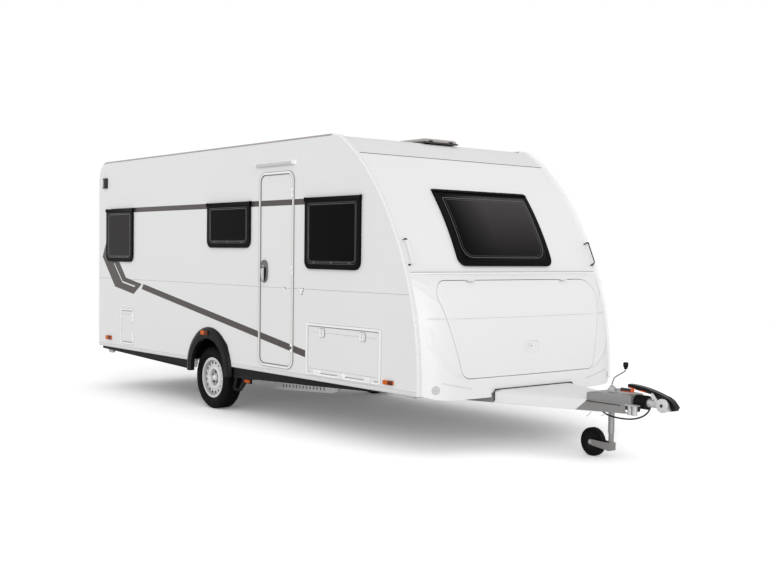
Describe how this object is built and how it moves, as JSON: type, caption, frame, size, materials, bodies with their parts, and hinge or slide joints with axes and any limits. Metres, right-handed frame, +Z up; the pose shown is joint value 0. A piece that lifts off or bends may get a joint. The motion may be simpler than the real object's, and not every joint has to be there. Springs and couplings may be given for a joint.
{
  "type": "travel caravan",
  "caption": "Single-axle touring caravan with a raked front, hinged entrance door, front gas locker lid, service hatches, jockey wheel and corner steadies, standing parked on its wheels.",
  "frame": {"origin": "centre of the bounding box at ground level", "axes": "+X towards the towing hitch, +Y to the caravan's left, +Z up"},
  "size_m": [7.292, 2.404, 2.616],
  "materials": {
    "shell_white": "white-skinned foam sandwich",
    "moulded_white": "gloss",
    "panel_board": "satin",
    "floor_board": "matte",
    "black_plastic": "matte",
    "grey_plastic": "satin",
    "frame_white": "satin",
    "frame_grey": "satin",
    "window_glass": "tinted",
    "rail_alloy": "satin",
    "galvanised": "galvanised",
    "lamp_amber": "gloss",
    "lamp_red": "gloss",
    "lamp_clear": "gloss",
    "roof_dome": "gloss",
    "chrome_dark": "polished",
    "cast_grey": "painted",
    "rubber_black": "matte",
    "tyre_black": "matte",
    "rim_silver": "satin",
    "drum_dark": "cast"
  },
  "bodies": {
    "caravan": {"side_wall_right": "shell_white", "side_wall_left": "shell_white", "roof_panel": "shell_white", "front_wall": "moulded_white", "rear_wall": "shell_white", "floor_panel": "floor_board", "wheel_boxes": "black_plastic", "gas_locker_box": "panel_board", "front_locker_moulding": "moulded_white", "door_frame": "frame_white", "hatch_frames": "frame_white", "window_frames": "frame_grey", "window_panes": "window_glass", "edge_rails": "rail_alloy", "sill_strips": "moulded_white", "skirts": "black_plastic", "wheel_arch_trims": "black_plastic", "side_markers": "lamp_amber", "outline_lamps": "grey_plastic", "front_reflectors": "lamp_clear", "grab_handles": "moulded_white", "awning_lamp": "moulded_white", "rear_panel": "moulded_white", "rear_lamps": "lamp_red", "rooflights": "roof_dome", "service_fittings": "moulded_white", "chassis_rails": "galvanised", "cross_members": "galvanised", "drawbar_arms": "galvanised", "drawbar_cover": "moulded_white", "overrun_housing": "cast_grey", "drawtube": "galvanised", "bellows": "rubber_black", "coupling_head": "cast_grey", "stabiliser_lever": "black_plastic", "handbrake": "galvanised", "breakaway_lead": "rubber_black", "jockey_outer_tube": "galvanised", "steady_brackets": "galvanised", "axle_beam": "galvanised", "swing_arms": "cast_grey"},
    "entrance_door": {"entrance_door": "shell_white", "door_handle": "chrome_dark"},
    "service_door": {"service_door": "shell_white"},
    "toilet_door": {"toilet_door": "shell_white"},
    "gas_locker_lid": {"gas_locker_lid": "moulded_white"},
    "wheel_right": {"tyre_right": "tyre_black", "rim_right": "rim_silver", "drum_right": "drum_dark"},
    "wheel_left": {"tyre_left": "tyre_black", "rim_left": "rim_silver", "drum_left": "drum_dark"},
    "jockey_slide": {"jockey_inner_tube": "galvanised"},
    "jockey_fork": {"jockey_fork": "galvanised"},
    "jockey_wheel": {"jockey_wheel": "rubber_black"},
    "steady_front_right": {"steady_front_right": "galvanised"},
    "steady_front_left": {"steady_front_left": "galvanised"},
    "steady_rear_right": {"steady_rear_right": "galvanised"},
    "steady_rear_left": {"steady_rear_left": "galvanised"}
  },
  "joints": [
    {"name": "entrance_door_hinge", "type": "hinge", "parent": "caravan", "child": "entrance_door", "pos_m": [0.364, -1.1745, 1.413], "axis": [0, 0, 1], "range_deg": [0, 170]},
    {"name": "service_door_hinge", "type": "hinge", "parent": "caravan", "child": "service_door", "pos_m": [1.1125, -1.1745, 0.531], "axis": [-1, 0, 0], "range_deg": [-120, 0]},
    {"name": "toilet_door_hinge", "type": "hinge", "parent": "caravan", "child": "toilet_door", "pos_m": [-2.729, -1.1745, 0.723], "axis": [0, 0, 1], "range_deg": [0, 170]},
    {"name": "gas_locker_lid_hinge", "type": "hinge", "parent": "caravan", "child": "gas_locker_lid", "pos_m": [2.0332, 0, 1.36365], "axis": [0, -1, 0], "range_deg": [0, 75]},
    {"name": "wheel_right_spin", "type": "hinge", "parent": "caravan", "child": "wheel_right", "pos_m": [-1.112, -1.023, 0.31], "axis": [0, 1, 0], "continuous": true},
    {"name": "wheel_left_spin", "type": "hinge", "parent": "caravan", "child": "wheel_left", "pos_m": [-1.112, 1.023, 0.31], "axis": [0, 1, 0], "continuous": true},
    {"name": "jockey_height", "type": "slide", "parent": "caravan", "child": "jockey_slide", "axis": [0, 0, 1], "range_m": [-0.12, 0.065]},
    {"name": "jockey_swivel", "type": "hinge", "parent": "jockey_slide", "child": "jockey_fork", "pos_m": [3.038, 0, 0.16], "axis": [0, 0, 1], "continuous": true},
    {"name": "jockey_wheel_spin", "type": "hinge", "parent": "jockey_fork", "child": "jockey_wheel", "pos_m": [2.862, 0, 0.1125], "axis": [0, 1, 0], "continuous": true},
    {"name": "steady_front_right_hinge", "type": "hinge", "parent": "caravan", "child": "steady_front_right", "pos_m": [1.308, -0.86, 0.412], "axis": [0, 1, 0], "range_deg": [0, 65]},
    {"name": "steady_front_left_hinge", "type": "hinge", "parent": "caravan", "child": "steady_front_left", "pos_m": [1.308, 0.86, 0.412], "axis": [0, 1, 0], "range_deg": [0, 65]},
    {"name": "steady_rear_right_hinge", "type": "hinge", "parent": "caravan", "child": "steady_rear_right", "pos_m": [-2.912, -0.86, 0.412], "axis": [0, -1, 0], "range_deg": [0, 65]},
    {"name": "steady_rear_left_hinge", "type": "hinge", "parent": "caravan", "child": "steady_rear_left", "pos_m": [-2.912, 0.86, 0.412], "axis": [0, -1, 0], "range_deg": [0, 65]}
  ]
}
